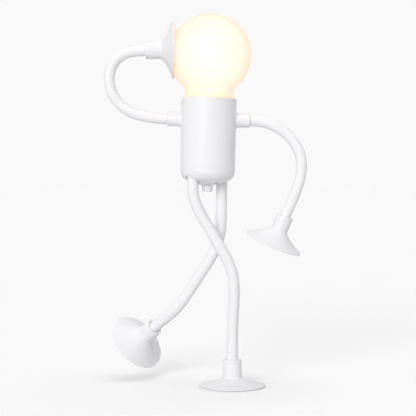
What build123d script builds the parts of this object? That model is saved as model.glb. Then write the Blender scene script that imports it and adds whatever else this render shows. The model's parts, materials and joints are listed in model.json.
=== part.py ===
from build123d import *
import math
import os

# A figure lamp. X is the viewer's right, Y points away from the viewer, Z is up.
# The origin is the centre of the standing foot's rim, on the surface that the lamp stands on.

os.makedirs("parts", exist_ok=True)

# Driving dimensions, in millimetres and degrees

# Hoses: a silicone skin over a wound steel core
arm_hose_radius = 5.3
leg_hose_radius = 5.5
core_radius = 3.4
core_clearance = 0.2
joint_gap = 0.35
bend_room = 0.3
run_share = 0.48

# Torso
body_lean = 1.2
casing_top_radius = 27.0
casing_seam_radius = 26.5
mouth_radius = 24.4
lower_wall = 1.7
lip_round = 1.0
dome_radius = 45.0
dome_corner = 10.0
cap_side_height = 6.56963

# Shoulders and hips
stub_drop = 20.6
stub_reach = 40.2
stub_radius = 6.95
stub_blend = 2.0
stub_edge = 0.5
hose_fit = 0.25
shoulder_bore_end = 27.4
hip_ring_radius = 18.7
hip_angle = 41.0
hip_hole_radius = 6.3
hip_boss_radius = 7.6
hip_level = 2.0
hip_web = 1.2
hip_root_gap = 0.2

# Ferrules on the cores' root ends
ferrule_radius = 4.6
ferrule_length = 3.0
wide_hole_height = 10.5
flange_radius = 5.4
flange_thickness = 1.2
crimp_gap = 0.05
pad_radius = 6.2
pad_face = 23.0
core_hole_clearance = 0.2

# Base cap, its spigot and its screws
spigot_height = 3.3
spigot_wall = 1.2
spigot_fit = 0.15
flange_room = 0.6
screw_ring_radius = 13.5
screw_shank_radius = 1.5
screw_pilot_clearance = 0.05
screw_hole_clearance = 0.2
screw_head_radius = 2.2
screw_head_height = 1.6
screw_head_seat = 6.0
screw_length = 22.0
screw_well_clearance = 0.3
screw_end_room = 1.5
pillar_radius = 3.7
screw_socket_radius = 1.2
screw_socket_depth = 1.0

# Lampholder and its shelf
shelf_height = 43.0
shelf_thickness = 2.4
wall_bite = 0.8
wire_hole_radius = 5.0
holder_screw_ring_radius = 10.0
holder_radius = 17.2
holder_height = 26.0
holder_floor = 4.0
shell_radius = 14.2
holder_screw_clearance = 0.2
shell_wall = 0.4
shell_fit = 0.1
shell_start = 6.0
shell_length = 18.0
contact_width = 6.0
contact_thickness = 0.6
contact_length = 18.0
contact_crown = 3.0
contact_rise = 1.6
contact_gap = 0.2
holder_screw_length = 5.8
holder_screw_radius = 1.2
holder_screw_head_radius = 2.2
holder_screw_head_height = 1.4

# Bulb
globe_radius = 40.1
glass_wall = 1.2
neck_radius = 23.85
neck_blend = 8.0
neck_straight_length = 9.3558
neck_sink_depth = 2.7
glass_fit = 0.25
collar_cone_height = 6.0
collar_step = 4.0
collar_rim = 1.2
collar_wall = 1.6
collar_foot_height = 6.0
board_fit = 0.4
board_thickness = 1.6
chip_ring_radius = 13.0
chip_count = 10
chip_size = 3.0
chip_height = 0.8
driver_radius = 9.5
driver_height = 16.0
cap_radius = 13.1
cap_wall = 0.35
cap_fit = 0.1
cap_height = 21.4
cap_floor_hole = 8.0
insulator_height = 2.2
insulator_plug = 1.0
insulator_edge = 0.7
tip_radius = 4.2
tip_height = 1.2

# Push switch
button_radius = 5.35
button_drop = 6.0
button_edge = 1.2
button_clearance = 0.25
button_travel = 2.0
button_flange_radius = 6.4
button_flange_bottom = 6.4
button_flange_thickness = 1.6
stem_radius = 1.8
stem_gap = 0.2
switch_radius = 8.4
switch_bottom = 5.0
switch_top = 22.0
switch_wall = 1.4
switch_floor = 1.2
switch_lid = 2.0
ear_reach = 11.1
ear_width = 6.4
ear_thickness = 2.0
ear_height = 8.0
ear_boss_radius = 2.5
ear_screw_radius = 1.1
ear_screw_head_radius = 2.0
ear_screw_head_height = 1.3
ear_screw_depth = 3.6
spring_wire_radius = 0.35
spring_coil_radius = 3.0
spring_turns = 5
spring_end_gap = 0.1
ear_angle = 45.0

# Inlet at the rear
inlet_share = 0.55102041
inlet_face = 25.5
inlet_spot_radius = 5.9
inlet_flange_radius = 5.5
inlet_flange_thickness = 1.4
inlet_barrel_radius = 4.0
inlet_barrel_length = 11.5
inlet_fit = 0.1
inlet_bore_radius = 2.75
inlet_bore_depth = 9.0
inlet_pin_radius = 1.0
inlet_pin_length = 7.5
inlet_pad_radius = 6.4
inlet_pad_face = 23.0
inlet_nut_radius = 6.2
inlet_nut_thickness = 2.0
wire_radius = 0.9
wire_bend = 4.0
wire_spread = 2.8
wire_side = 1.8

# Cups
hand_rim_radius = 28.7
foot_rim_radius = 30.1
pressed_foot_rim_radius = 32.6
hand_sleeve_radius = 8.2
foot_sleeve_radius = 9.1
sleeve_length = 15.6
sleeve_flare = 0.3
sleeve_edge = 0.6
free_cup_height = 30.2
pressed_cup_height = 26.6
cup_bore_depth = 13.0
cup_bore_floor = 0.3
cup_web = 2.0
cup_wall = 1.2
lip_thickness = 1.1
lip_width = 1.6
cup_throat_radius = 5.0
cup_blend = 3.0
flare_share = 0.06

# Where the limbs start and end
standing_hip_left = 38.5
standing_hip_front = 16.3
standing_hip_height = 199.6
press_depth = 4.0
hand_rise = 5.6
raised_hand_tilt = 1.5
lowered_hand_right = 35.0
lowered_hand_back = 5.5
lowered_hand_drop = 92.8
lowered_hand_opening = Vector(-0.386, 0.14, -0.911)
lifted_foot_left = 67.2
lifted_foot_back = 31.8
lifted_foot_drop = 144.5
lifted_foot_opening = Vector(-0.646, 0.52, -0.557)

# How far each hose runs straight out of the torso, and straight into its cup
raised_arm_lead = 5.0
lowered_arm_lead = 3.6
standing_leg_lead = 15.1
lifted_leg_lead = 58.0
raised_arm_tail = 20.5
lowered_arm_tail = 39.0
standing_leg_tail = 17.4
lifted_leg_tail = 37.5

# The corners between, as shares of the straight way from mouth to cup: along it, beside it, in depth
raised_arm_shares = ((0.238, 0.488, 0), (0.604, 0.657, 0), (0.956, 0.542, 0))
lowered_arm_shares = ((0.13, 0.229, -0.007), (0.448, 0.373, -0.025))
standing_leg_shares = ((0.53, 0.117, -0.008),)

# The largest radius of each bend, from the torso outwards
hose_bend_radius = 60.0
wide_bend_radius = 70.0
foot_bend_radius = 50.0
raised_arm_bends = (hose_bend_radius,) * 5
lowered_arm_bends = (hose_bend_radius, hose_bend_radius, hose_bend_radius, wide_bend_radius)
standing_leg_bends = (hose_bend_radius,) * 3
lifted_leg_bends = (hose_bend_radius, foot_bend_radius)

# Where the hoses bend when they are moved: below the hips, above the cups, and part way along a run
hip_drop = 3.1
wrist_rise = 9.5
raised_shoulder_share = 0.3
lowered_shoulder_share = 0.35
middle_share = 0.5

# Heights in the torso, stacked from the dome's lowest point: the shelf, the holder, the bulb's cap, its neck
# and the casing's mouth around it
dome_edge_height = dome_radius - math.sqrt(dome_radius**2 - casing_seam_radius**2)
seam_height = dome_edge_height + cap_side_height
spigot_top = seam_height + spigot_height
inlet_height = spigot_top + (shelf_height - spigot_top) * inlet_share
shelf_top = shelf_height + shelf_thickness
holder_cavity_floor = shelf_top + holder_floor
cap_bottom = holder_cavity_floor + contact_rise + contact_gap + tip_height + insulator_height
cap_top = cap_bottom + cap_height
neck_start = cap_top + collar_cone_height
casing_height = neck_start + neck_sink_depth
stub_height = casing_height - stub_drop
neck_bend_height = math.sqrt((globe_radius + neck_blend) ** 2 - (neck_radius + neck_blend) ** 2)
globe_height = neck_start + neck_straight_length + neck_bend_height

# The torso's frame: up its own axis, across its shoulders and back
lean = math.radians(body_lean)
torso_up = Vector(math.sin(lean), 0, math.cos(lean))
torso_right = Vector(math.cos(lean), 0, -math.sin(lean))
torso_back = Vector(0, 1, 0)
hip_turn = math.radians(hip_angle)
hip_out = torso_right * math.cos(hip_turn) + torso_back * math.sin(hip_turn)
screw_out = torso_right * math.sin(hip_turn) - torso_back * math.cos(hip_turn)
standing_hip = Vector(-standing_hip_left, -standing_hip_front, standing_hip_height)
torso_foot = standing_hip + hip_out * hip_ring_radius - torso_up * hip_level
torso_axis = Axis(torso_foot, torso_up)
torso_profile = Plane(origin=torso_foot, x_dir=torso_right, z_dir=torso_right.cross(torso_up))
bore_radius = core_radius + core_clearance


def write(piece, name):
    piece.part.label = name
    export_step(piece.part, f"parts/{name}.step")


def level(height, offset=Vector(0, 0, 0)):
    """A plane across the torso at a height above the dome's lowest point, centred off its axis."""
    return Plane(origin=torso_foot + torso_up * height + offset, x_dir=torso_right, z_dir=torso_up)


def facing(origin, along):
    """A plane whose normal looks along a direction."""
    return Plane(origin=origin, z_dir=along)


def profile_plane(origin, along):
    """A plane for a turned profile: its local y runs along the turning axis."""
    side = facing(origin, along).x_dir
    return Plane(origin=origin, x_dir=side, z_dir=side.cross(along.normalized()))


def turned(outline, origin, along):
    """A solid of revolution from an outline of (radius, distance along the axis) points."""
    with BuildPart() as piece:
        with BuildSketch(profile_plane(origin, along)):
            with BuildLine():
                Polyline(*outline, close=True)
            make_face()
        revolve(axis=Axis(origin, along))
    return piece


def cylinders(planes, radius, height, hole=0):
    """Equal round pieces, one on each plane."""
    with BuildPart() as pieces:
        with BuildSketch(*planes):
            Circle(radius)
            if hole:
                Circle(hole, mode=Mode.SUBTRACT)
        extrude(amount=height)
    return pieces


def screws(planes, head_radius, head_height, shank_radius, length, socket_radius=0, socket_depth=0):
    """Screws whose heads stand on the planes, with their shanks below."""
    with BuildPart() as pieces:
        with BuildSketch(*planes):
            Circle(head_radius)
        extrude(amount=head_height)
        with BuildSketch(*planes):
            Circle(shank_radius)
        extrude(amount=-length)
        if socket_radius:
            with BuildSketch(*[plane.offset(head_height) for plane in planes]):
                RegularPolygon(socket_radius, side_count=6)
            extrude(amount=-socket_depth, mode=Mode.SUBTRACT)
    return pieces


# Base cap: a thin dome with its hip sockets, screw bosses and spigot


def dome_section(shrink, top):
    """Half of the dome's outline, a wall inside its outer face, closed at a height."""
    wall = casing_seam_radius - shrink
    radius = dome_radius - shrink
    edge = dome_radius - math.sqrt(radius**2 - wall**2)
    half = math.asin(wall / radius) / 2
    middle = (radius * math.sin(half), dome_radius - radius * math.cos(half))
    with BuildSketch(torso_profile) as section:
        with BuildLine():
            ThreePointArc((0, shrink), middle, (wall, edge))
            Polyline((wall, edge), (wall, top), (0, top), (0, shrink))
        make_face()
        fillet(section.vertices().sort_by_distance((wall, edge))[0], dome_corner - shrink)
    return section.sketch


hip_places = [-hip_out * hip_ring_radius, hip_out * hip_ring_radius]
screw_places = [screw_out * screw_ring_radius, -screw_out * screw_ring_radius]
ear_turn = hip_turn + math.radians(ear_angle)
ear_out = torso_right * math.cos(ear_turn) + torso_back * math.sin(ear_turn)
ear_places = [ear_out * ear_reach, -ear_out * ear_reach]
spigot_radius = casing_seam_radius - lower_wall - spigot_fit
hip_bore_top = seam_height - hip_web

with BuildPart() as base_cap:
    with BuildSketch(*[level(0, place) for place in hip_places]):
        Circle(hip_boss_radius)
    extrude(amount=seam_height)
    with BuildSketch(*[level(0, place) for place in screw_places]):
        Circle(pillar_radius)
    extrude(amount=spigot_top)
    with BuildSketch(*[level(0, place) for place in ear_places]):
        Circle(ear_boss_radius)
    extrude(amount=ear_height)
    revolve(dome_section(0, spigot_top), axis=torso_axis, mode=Mode.INTERSECT)
    revolve(dome_section(0, seam_height) - dome_section(lower_wall, seam_height), axis=torso_axis)
    with BuildSketch(level(seam_height)):
        Circle(spigot_radius)
        Circle(spigot_radius - spigot_wall, mode=Mode.SUBTRACT)
    extrude(amount=spigot_height)
    # The hip sockets, the ferrules' room and the button's hole
    with BuildSketch(*[level(0, place) for place in hip_places]):
        Circle(hip_hole_radius)
    extrude(amount=wide_hole_height, mode=Mode.SUBTRACT)
    with BuildSketch(*[level(0, place) for place in hip_places]):
        Circle(leg_hose_radius + hose_fit)
    extrude(amount=hip_bore_top, mode=Mode.SUBTRACT)
    with BuildSketch(*[level(0, place) for place in hip_places]):
        Circle(core_radius + core_hole_clearance)
    extrude(amount=seam_height, mode=Mode.SUBTRACT)
    with BuildSketch(*[level(seam_height, place) for place in hip_places]):
        Circle(flange_radius + flange_room)
    extrude(amount=spigot_height, mode=Mode.SUBTRACT)
    with BuildSketch(level(0)):
        Circle(button_radius + button_clearance)
    extrude(amount=seam_height, mode=Mode.SUBTRACT)
    # Screw holes with wells for the heads, and the switch's pilot holes
    with BuildSketch(*[level(0, place) for place in screw_places]):
        Circle(screw_head_radius + screw_well_clearance)
    extrude(amount=screw_head_seat, mode=Mode.SUBTRACT)
    with BuildSketch(*[level(0, place) for place in screw_places]):
        Circle(screw_shank_radius + screw_hole_clearance)
    extrude(amount=spigot_top, mode=Mode.SUBTRACT)
    with BuildSketch(*[level(ear_height, place) for place in ear_places]):
        Circle(ear_screw_radius + screw_pilot_clearance)
    extrude(amount=-ear_screw_depth, mode=Mode.SUBTRACT)
write(base_cap, "base_cap")

write(
    screws(
        [facing(torso_foot + torso_up * screw_head_seat + place, -torso_up) for place in screw_places],
        screw_head_radius,
        screw_head_height,
        screw_shank_radius,
        screw_length,
        screw_socket_radius,
        screw_socket_depth,
    ),
    "cap_screws",
)

# Casing: a drafted cup with two shoulder stubs, a shelf for the lampholder and two screw pillars
shoulder_centre = torso_foot + torso_up * stub_height
shoulder_ways = [-torso_right, torso_right]
inlet_centre = torso_foot + torso_up * inlet_height
inlet_plane = facing(inlet_centre + torso_back * inlet_face, torso_back)

with BuildPart() as casing:
    with BuildSketch(torso_profile) as casing_section:
        with BuildLine():
            Polyline(
                (0, seam_height),
                (casing_seam_radius, seam_height),
                (casing_top_radius, casing_height),
                (0, casing_height),
                close=True,
            )
        make_face()
        fillet(casing_section.vertices().sort_by_distance((casing_top_radius, casing_height))[0], lip_round)
    revolve(axis=torso_axis)
    with BuildSketch(facing(shoulder_centre, torso_right)):
        Circle(stub_radius)
    extrude(amount=stub_reach, both=True)
    stub_roots = casing.edges().filter_by(lambda edge: edge.geom_type not in (GeomType.LINE, GeomType.CIRCLE))
    fillet(stub_roots, stub_blend)
    stub_ends = casing.edges().filter_by(GeomType.CIRCLE).sort_by(Axis(shoulder_centre, torso_right))
    fillet([stub_ends[0], stub_ends[-1]], stub_edge)
    # The cavities above and below the shelf, and the mouth's rounded lip
    with BuildSketch(torso_profile):
        with Locations((mouth_radius + lip_round / 2, casing_height - lip_round / 2)):
            Rectangle(lip_round, lip_round)
        with Locations((mouth_radius + lip_round, casing_height - lip_round)):
            Circle(lip_round, mode=Mode.SUBTRACT)
        with Locations((mouth_radius / 2, (shelf_top + casing_height) / 2)):
            Rectangle(mouth_radius, casing_height - shelf_top)
        with BuildLine():
            Polyline(
                (0, seam_height),
                (casing_seam_radius - lower_wall, seam_height),
                (mouth_radius, shelf_height),
                (0, shelf_height),
                close=True,
            )
        make_face()
    revolve(axis=torso_axis, mode=Mode.SUBTRACT)
    # Flat pads behind the stubs, then the sockets for the hoses and the holes for their cores
    with BuildSketch(*[facing(shoulder_centre + way * pad_face, way) for way in shoulder_ways]):
        Circle(pad_radius)
    extrude(amount=mouth_radius + wall_bite - pad_face)
    with BuildSketch(*[facing(shoulder_centre + way * stub_reach, -way) for way in shoulder_ways]):
        Circle(arm_hose_radius + hose_fit)
    extrude(amount=stub_reach - shoulder_bore_end, mode=Mode.SUBTRACT)
    with BuildSketch(*[facing(shoulder_centre + way * stub_reach, -way) for way in shoulder_ways]):
        Circle(core_radius + core_hole_clearance)
    extrude(amount=stub_reach - pad_face, mode=Mode.SUBTRACT)
    # The shelf's wire hole and screw holes
    with BuildSketch(level(shelf_height)):
        Circle(wire_hole_radius)
        with Locations((-holder_screw_ring_radius, 0), (holder_screw_ring_radius, 0)):
            Circle(holder_screw_radius + holder_screw_clearance)
    extrude(amount=shelf_thickness, mode=Mode.SUBTRACT)
    # Screw pillars under the shelf
    with BuildSketch(*[level(spigot_top, place) for place in screw_places]):
        Circle(pillar_radius)
    extrude(amount=shelf_height - spigot_top)
    with BuildSketch(*[level(spigot_top, place) for place in screw_places]):
        Circle(screw_shank_radius + screw_pilot_clearance)
    extrude(amount=screw_head_seat + screw_length + screw_end_room - spigot_top, mode=Mode.SUBTRACT)
    # The inlet's flat seats, outside and in, and its hole
    with BuildSketch(inlet_plane):
        Circle(inlet_spot_radius)
    extrude(amount=casing_top_radius - inlet_face, mode=Mode.SUBTRACT)
    with BuildSketch(inlet_plane.offset(inlet_pad_face - inlet_face)):
        Circle(inlet_pad_radius)
    extrude(amount=mouth_radius + wall_bite - inlet_pad_face)
    with BuildSketch(inlet_plane):
        Circle(inlet_barrel_radius + inlet_fit)
    extrude(amount=inlet_pad_face - inlet_face, mode=Mode.SUBTRACT)
write(casing, "casing")

# Inlet, its nut and the leads behind it
with BuildPart() as dc_inlet:
    with BuildSketch(inlet_plane):
        Circle(inlet_flange_radius)
    extrude(amount=inlet_flange_thickness)
    with BuildSketch(inlet_plane):
        Circle(inlet_barrel_radius)
    extrude(amount=-inlet_barrel_length)
    with BuildSketch(inlet_plane.offset(inlet_flange_thickness)):
        Circle(inlet_bore_radius)
    extrude(amount=-inlet_bore_depth, mode=Mode.SUBTRACT)
    with BuildSketch(inlet_plane.offset(inlet_flange_thickness - inlet_bore_depth)):
        Circle(inlet_pin_radius)
    extrude(amount=inlet_pin_length)
write(dc_inlet, "dc_inlet")

with BuildPart() as inlet_nut:
    with BuildSketch(inlet_plane.offset(inlet_pad_face - inlet_face)):
        RegularPolygon(inlet_nut_radius, side_count=6)
        Circle(inlet_barrel_radius + inlet_fit, mode=Mode.SUBTRACT)
    extrude(amount=-inlet_nut_thickness)
write(inlet_nut, "inlet_nut")


def inside(right, back, up):
    """A point in the torso's own frame."""
    return torso_foot + torso_right * right + torso_back * back + torso_up * up


inlet_inner_end = inlet_face - inlet_barrel_length
lead_routes = (
    (
        inside(wire_side, inlet_inner_end, inlet_height),
        inside(wire_side, wire_spread, inlet_height),
        inside(wire_side, wire_spread, switch_top),
    ),
    (
        inside(-wire_side, inlet_inner_end, inlet_height),
        inside(-wire_side, wire_spread, inlet_height),
        inside(-wire_side, wire_spread, shelf_top),
    ),
    (inside(0, -wire_spread, switch_top), inside(0, -wire_spread, shelf_top)),
)
with BuildPart() as lead_wires:
    for lead_route in lead_routes:
        with BuildLine() as lead_path:
            if len(lead_route) > 2:
                FilletPolyline(*lead_route, radius=wire_bend)
            else:
                Line(*lead_route)
        with BuildSketch(facing(lead_route[0], lead_route[1] - lead_route[0])):
            Circle(wire_radius)
        sweep(path=lead_path.line)
write(lead_wires, "lead_wires")

# Push switch: a button with an end stop and a stem, in a housing screwed to the dome by its ears
button_top = button_flange_bottom + button_flange_thickness
stem_length = switch_top - switch_lid - stem_gap - button_travel - button_top
with BuildPart() as switch_button:
    with BuildSketch(torso_profile) as button_section:
        with BuildLine():
            Polyline(
                (0, -button_drop),
                (button_radius, -button_drop),
                (button_radius, button_flange_bottom),
                (button_flange_radius, button_flange_bottom),
                (button_flange_radius, button_top),
                (stem_radius, button_top),
                (stem_radius, button_top + stem_length),
                (0, button_top + stem_length),
                close=True,
            )
        make_face()
        fillet(button_section.vertices().sort_by_distance((button_radius, -button_drop))[0], button_edge)
    revolve(axis=torso_axis)
write(switch_button, "switch_button")

ear_plane = Plane(origin=torso_foot + torso_up * ear_height, x_dir=ear_out, z_dir=torso_up)
with BuildPart() as switch_housing:
    with BuildSketch(level(switch_bottom)):
        Circle(switch_radius)
    extrude(amount=switch_top - switch_bottom)
    with BuildSketch(ear_plane):
        SlotCenterToCenter(2 * ear_reach, ear_width)
        with Locations((-ear_reach, 0), (ear_reach, 0)):
            Circle(ear_screw_radius + screw_hole_clearance, mode=Mode.SUBTRACT)
    extrude(amount=ear_thickness)
    with BuildSketch(level(switch_bottom)):
        Circle(button_radius + button_clearance)
    extrude(amount=switch_floor, mode=Mode.SUBTRACT)
    with BuildSketch(level(switch_bottom + switch_floor)):
        Circle(switch_radius - switch_wall)
    extrude(amount=switch_top - switch_lid - switch_bottom - switch_floor, mode=Mode.SUBTRACT)
write(switch_housing, "switch_housing")

write(
    screws(
        [level(ear_height + ear_thickness, place) for place in ear_places],
        ear_screw_head_radius,
        ear_screw_head_height,
        ear_screw_radius,
        ear_thickness + ear_screw_depth,
    ),
    "switch_screws",
)

spring_start = button_top + spring_wire_radius + spring_end_gap
spring_height = switch_top - switch_lid - spring_wire_radius - spring_end_gap - spring_start
with BuildPart() as switch_spring:
    with BuildLine() as spring_path:
        Helix(
            pitch=spring_height / spring_turns,
            height=spring_height,
            radius=spring_coil_radius,
            center=torso_foot + torso_up * spring_start,
            direction=torso_up,
        )
    with BuildSketch(facing(spring_path.line @ 0, spring_path.line % 0)):
        Circle(spring_wire_radius)
    sweep(path=spring_path.line, is_frenet=True)
write(switch_spring, "switch_spring")

# Lampholder on the shelf
with BuildPart() as holder_body:
    with BuildSketch(level(shelf_top)):
        Circle(holder_radius)
    extrude(amount=holder_height)
    with BuildSketch(level(holder_cavity_floor)):
        Circle(shell_radius + shell_fit)
    extrude(amount=holder_height - holder_floor, mode=Mode.SUBTRACT)
    with BuildSketch(level(shelf_top)):
        with Locations((-holder_screw_ring_radius, 0), (holder_screw_ring_radius, 0)):
            Circle(holder_screw_radius + screw_pilot_clearance)
    extrude(amount=holder_screw_length - shelf_thickness, mode=Mode.SUBTRACT)
write(holder_body, "holder_body")

shell_bottom = shelf_top + shell_start
write(cylinders([level(shell_bottom)], shell_radius, shell_length, shell_radius - shell_wall), "holder_shell")

with BuildPart() as holder_contact:
    with BuildSketch(torso_profile.offset(contact_width / 2)):
        with BuildLine():
            Polyline(
                (-contact_length / 2, holder_cavity_floor),
                (contact_length / 2, holder_cavity_floor),
                (contact_length / 2, holder_cavity_floor + contact_thickness),
                (contact_crown, holder_cavity_floor + contact_thickness),
                (contact_crown / 2, holder_cavity_floor + contact_rise),
                (-contact_crown / 2, holder_cavity_floor + contact_rise),
                (-contact_crown, holder_cavity_floor + contact_thickness),
                (-contact_length / 2, holder_cavity_floor + contact_thickness),
                close=True,
            )
        make_face()
    extrude(amount=-contact_width)
write(holder_contact, "holder_contact")

write(
    screws(
        [
            facing(torso_foot + torso_up * shelf_height + way * holder_screw_ring_radius, -torso_up)
            for way in shoulder_ways
        ],
        holder_screw_head_radius,
        holder_screw_head_height,
        holder_screw_radius,
        holder_screw_length,
    ),
    "holder_screws",
)


# Bulb: a glass globe and neck on a moulded collar with a screw cap


def glass_section(inset, bottom):
    """Half of the globe's outline with its neck, a wall inside the outer face."""
    with BuildSketch(torso_profile) as section:
        with Locations((0, globe_height)):
            Circle(globe_radius - inset)
        with Locations((0, (bottom + globe_height) / 2)):
            Rectangle(2 * (neck_radius - inset), globe_height - bottom)
        fillet(section.vertices().group_by(Axis.Y)[1], neck_blend + inset)
        split(bisect_by=Plane.YZ)
    return section.sketch


with BuildPart() as globe_glass:
    revolve(glass_section(0, neck_start), axis=torso_axis)
    revolve(glass_section(glass_wall, neck_start - glass_wall), axis=torso_axis, mode=Mode.SUBTRACT)
write(globe_glass, "globe_glass")

spigot_outer = neck_radius - glass_wall - glass_fit
cap_bore = cap_radius - cap_wall - cap_fit
collar_top = neck_start + collar_step
write(
    turned(
        [
            (cap_bore - collar_wall, cap_top - collar_foot_height),
            (cap_bore, cap_top - collar_foot_height),
            (cap_bore, cap_top),
            (cap_radius, cap_top),
            (neck_radius, neck_start - collar_rim),
            (neck_radius, neck_start),
            (spigot_outer, neck_start),
            (spigot_outer, collar_top),
            (spigot_outer - collar_wall, collar_top),
            (spigot_outer - collar_wall, neck_start),
            (cap_bore - collar_wall, cap_top + collar_wall),
        ],
        torso_foot,
        torso_up,
    ),
    "bulb_collar",
)

with BuildPart() as led_board:
    with BuildSketch(level(collar_top)):
        Circle(neck_radius - glass_wall - board_fit)
    extrude(amount=board_thickness)
    with BuildSketch(level(collar_top + board_thickness)):
        with PolarLocations(chip_ring_radius, chip_count):
            Rectangle(chip_size, chip_size)
    extrude(amount=chip_height)
write(led_board, "led_board")

write(
    turned(
        [
            (cap_floor_hole, cap_bottom),
            (cap_radius, cap_bottom),
            (cap_radius, cap_top),
            (cap_radius - cap_wall, cap_top),
            (cap_radius - cap_wall, cap_bottom + cap_wall),
            (cap_floor_hole, cap_bottom + cap_wall),
        ],
        torso_foot,
        torso_up,
    ),
    "screw_cap",
)

insulator_bottom = cap_bottom - insulator_height
write(
    turned(
        [
            (0, insulator_bottom),
            (tip_radius, insulator_bottom),
            (cap_radius - insulator_edge, cap_bottom),
            (cap_floor_hole - cap_fit, cap_bottom),
            (cap_floor_hole - cap_fit, cap_bottom + insulator_plug),
            (0, cap_bottom + insulator_plug),
        ],
        torso_foot,
        torso_up,
    ),
    "cap_insulator",
)
write(cylinders([level(insulator_bottom - tip_height)], tip_radius, tip_height), "cap_contact")
write(cylinders([level(cap_bottom + insulator_plug)], driver_radius, driver_height), "bulb_driver")

# Ferrules on the cores' root ends, inside the torso
ferrule_seats = [facing(shoulder_centre + way * pad_face, -way) for way in shoulder_ways]
ferrule_seats += [level(seam_height, place) for place in hip_places]
with BuildPart() as root_ferrules:
    with BuildSketch(*ferrule_seats):
        Circle(flange_radius)
        Circle(core_radius + crimp_gap, mode=Mode.SUBTRACT)
    extrude(amount=flange_thickness)
    with BuildSketch(*[seat.offset(flange_thickness) for seat in ferrule_seats]):
        Circle(ferrule_radius)
        Circle(core_radius + crimp_gap, mode=Mode.SUBTRACT)
    extrude(amount=ferrule_length)
write(root_ferrules, "root_ferrules")


# Limbs: hoses that run straight out of the torso and straight into their cups, with bends between


def bend_radii(points, largest, start_straight, end_straight):
    """Each bend's radius: the largest asked for that its two runs leave room for."""
    radii = []
    for i in range(1, len(points) - 1):
        before = points[i] - points[i - 1]
        after = points[i + 1] - points[i]
        room_before = before.length - start_straight if i == 1 else before.length * run_share
        room_after = after.length - end_straight if i == len(points) - 2 else after.length * run_share
        half_turn = math.radians(before.get_angle(after)) / 2
        radii.append(min(largest[i - 1], min(room_before, room_after) / math.tan(half_turn)))
    return radii


def swept(points, radii, outer, bore=0):
    """A tube along straight runs and tangent arcs."""
    with BuildPart() as tube:
        with BuildLine() as path:
            if radii:
                FilletPolyline(*points, radius=radii)
            else:
                Line(*points)
        with BuildSketch(facing(points[0], points[1] - points[0])):
            Circle(outer)
            if bore:
                Circle(bore, mode=Mode.SUBTRACT)
        sweep(path=path.line)
    return tube


def hose_skin(points, radii, outer, socket, ball):
    """A length of hose skin. Its far end is a ball and its near end a hollow that fits over one."""
    with BuildPart() as skin:
        add(swept(points, radii, outer, bore_radius).part)
        if ball:
            way = (points[-1] - points[-2]).normalized()
            with BuildSketch(profile_plane(points[-1], way)):
                with BuildLine():
                    arc = CenterArc((0, 0), outer, 0, math.degrees(math.acos(bore_radius / outer)))
                    Polyline(arc @ 1, (bore_radius, 0), (outer, 0))
                make_face()
            revolve(axis=Axis(points[-1], way))
        if socket:
            with Locations(points[0]):
                Sphere(outer + joint_gap, mode=Mode.SUBTRACT)
    return skin


def limb(name, lengths, points, largest, stations, outer, root_straight, root_core, tip_straight):
    """The hose lengths from the torso to the cup, cut at the stations where the hose bends."""
    pieces, current = [], [(points[0], 0)]
    for i in range(len(points) - 1):
        for run, place in stations:
            if run == i:
                pieces.append(current + [(place, 0)])
                current = [(place, 0)]
        current.append((points[i + 1], largest[i] if i < len(largest) else 0))
    pieces.append(current)
    for k, (length, piece) in enumerate(zip(lengths, pieces)):
        places = [place for place, radius in piece]
        first, last = k == 0, k == len(pieces) - 1
        start_straight = root_straight if first else outer + 2 * joint_gap + bend_room
        end_straight = tip_straight if last else outer + bend_room
        radii = bend_radii(places, [radius for place, radius in piece[1:-1]], start_straight, end_straight)
        write(hose_skin(places, radii, outer, not first, not last), f"{name}_{length}_skin")
        start_way = (places[1] - places[0]).normalized()
        end_way = (places[-1] - places[-2]).normalized()
        nose = math.sqrt(outer**2 - core_radius**2) - joint_gap
        start_reach = -root_core if first else outer + 2 * joint_gap
        start = places[0] + start_way * start_reach
        end = places[-1] if last else places[-1] + end_way * nose
        write(swept([start, *places[1:-1], end], radii, core_radius), f"{name}_{length}_core")


def cup(name, mouth, opening, rim_radius, sleeve_radius, height, hose_radius):
    """A flared cup with its sleeve: blind bore at the mouth, thin lip at the rim."""
    bore = hose_radius + hose_fit
    throat = cup_bore_depth + cup_web
    flare_start = Vector(sleeve_radius + sleeve_flare, sleeve_length)
    rim_edge = Vector(rim_radius, height - lip_thickness)
    chord = rim_edge - flare_start
    inward = Vector(-chord.Y, chord.X).normalized()
    middle = (flare_start + rim_edge) / 2 + inward * chord.length * flare_share
    with BuildPart() as piece:
        with BuildSketch(profile_plane(mouth, opening)) as section:
            with BuildLine():
                Polyline((bore, 0), (sleeve_radius, 0), flare_start)
                ThreePointArc(flare_start, middle, rim_edge)
                Polyline(rim_edge, (rim_radius, height), (rim_radius - lip_width, height))
                ThreePointArc(
                    (rim_radius - lip_width, height), middle + inward * cup_wall, (cup_throat_radius, throat)
                )
                Polyline(
                    (cup_throat_radius, throat), (0, throat), (0, cup_bore_depth), (bore, cup_bore_depth)
                )
                Line((bore, cup_bore_depth), (bore, 0))
            make_face()
            fillet(section.vertices().sort_by_distance(flare_start)[0], cup_blend)
            fillet(section.vertices().sort_by_distance((sleeve_radius, 0))[0], sleeve_edge)
        revolve(axis=Axis(mouth, opening))
    write(piece, name)


def along(start, end, share):
    return start + (end - start) * share


def route(mouth, out, root_depth, lead, shares, cup_mouth, opening, tail):
    """A hose's corners, from its root in the torso to its end in the cup."""
    way = cup_mouth - mouth
    beside = way.cross(torso_back).normalized() * way.length
    deep = beside.cross(way).normalized() * way.length
    corners = [mouth + way * a + beside * b + deep * c for a, b, c in shares]
    tip = cup_mouth + opening * (cup_bore_depth - cup_bore_floor)
    return [mouth - out * root_depth, mouth + out * lead, *corners, cup_mouth - opening * tail, tip]


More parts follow.
